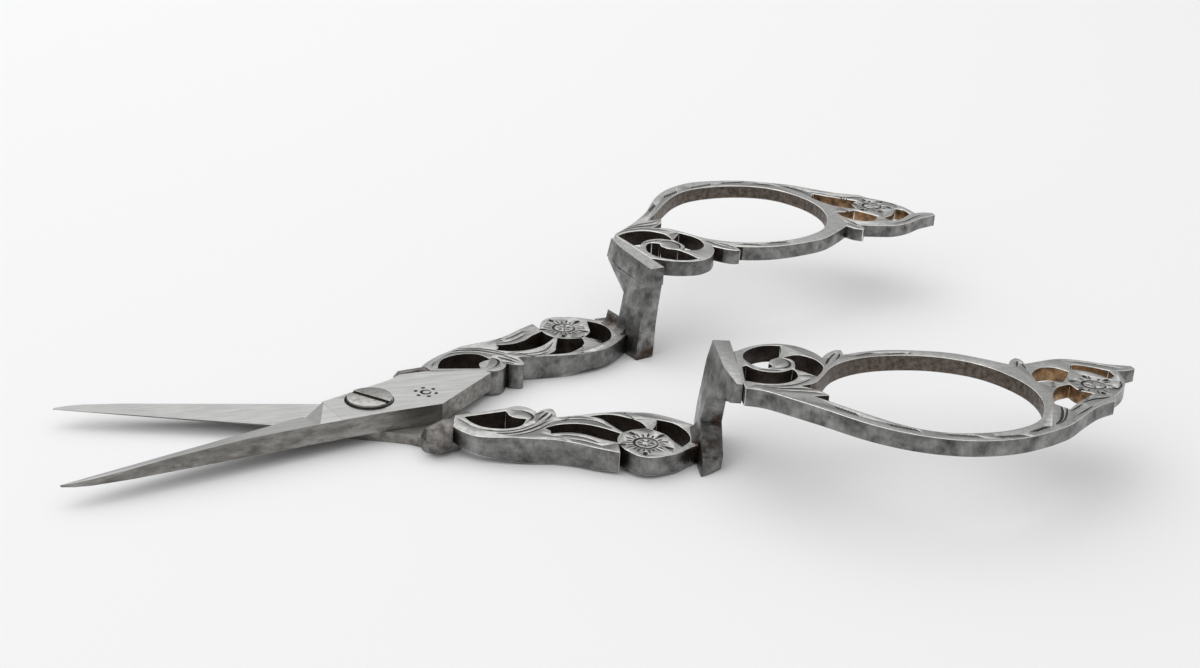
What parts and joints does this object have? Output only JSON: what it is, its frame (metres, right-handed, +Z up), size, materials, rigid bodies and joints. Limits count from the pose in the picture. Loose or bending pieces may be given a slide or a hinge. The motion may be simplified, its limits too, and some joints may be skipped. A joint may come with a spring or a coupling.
{
  "type": "fabric shears",
  "caption": "Openwork steel fabric shears with stepped scrollwork handles, pointed blades and a slotted pivot screw.",
  "frame": {"origin": "where the hinge line of the pivot screw meets the table the shears lie on, at the flush end of the screw", "axes": "+Z up from the table; +X along the middle of the opening from the pivot towards the finger bows; +Y towards the bow of the upper half"},
  "size_m": [0.1626, 0.1176, 0.017],
  "materials": {
    "blade_steel": "satin ground carbon steel, lightly worn",
    "handle_steel": "filed and worn steel with grey patina on the sides",
    "joint_steel": "dark patinated steel with brown rust and braze",
    "finial_steel": "worn steel with coppery braze in the openings",
    "screw_steel": "turned steel, scratched"
  },
  "bodies": {
    "lower_half": {"lower_blade": "blade_steel", "lower_bolster": "joint_steel", "lower_shank": "handle_steel", "lower_riser": "handle_steel", "lower_bow": "handle_steel", "lower_finial": "finial_steel", "pivot_screw": "screw_steel"},
    "upper_half": {"upper_blade": "blade_steel", "upper_bolster": "joint_steel", "upper_shank": "handle_steel", "upper_riser": "handle_steel", "upper_bow": "handle_steel", "upper_finial": "finial_steel"}
  },
  "joints": [
    {"name": "pivot", "type": "hinge", "parent": "lower_half", "child": "upper_half", "pos_m": [0, 0, 0.0019], "axis": [0.0244, 0, 0.9997], "range_deg": [-31.5, 45]}
  ]
}
